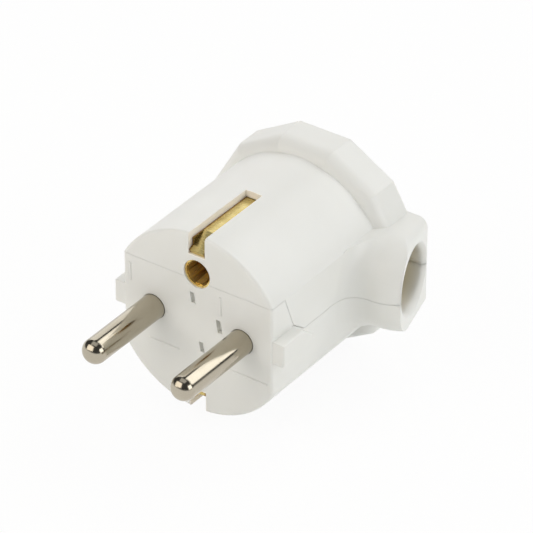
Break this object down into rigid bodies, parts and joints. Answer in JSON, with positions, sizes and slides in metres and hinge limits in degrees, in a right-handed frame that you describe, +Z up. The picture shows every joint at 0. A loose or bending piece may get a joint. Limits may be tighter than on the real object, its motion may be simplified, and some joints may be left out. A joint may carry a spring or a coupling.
{
  "type": "earthed mains plug",
  "caption": "Two-part moulded mains plug with round pins, side earth contacts, an earth hole in its face, a twelve-sided grip cap and a cable entry at the side.",
  "frame": {"origin": "centre of the engagement face, midway between the two pins", "axes": "+X towards the cable entry's side, +Y away from the outlet, +Z up towards the earth hole"},
  "size_m": [0.0459, 0.0583, 0.0404],
  "materials": {
    "shell_plastic": "satin moulded",
    "nickel_plate": "polished",
    "contact_brass": "rolled strip",
    "screw_steel": "zinc plated",
    "grip_plastic": "moulded"
  },
  "bodies": {
    "root": {"upper_shell": "shell_plastic", "lower_shell": "shell_plastic", "left_pin": "nickel_plate", "right_pin": "nickel_plate", "earth_bracket": "contact_brass", "earth_socket": "contact_brass", "terminal_screws": "screw_steel", "earth_screw": "screw_steel", "earth_washer": "contact_brass", "cord_grip_bar": "grip_plastic", "cord_grip_screws": "screw_steel", "housing_screws": "screw_steel", "threaded_inserts": "contact_brass"}
  },
  "joints": []
}
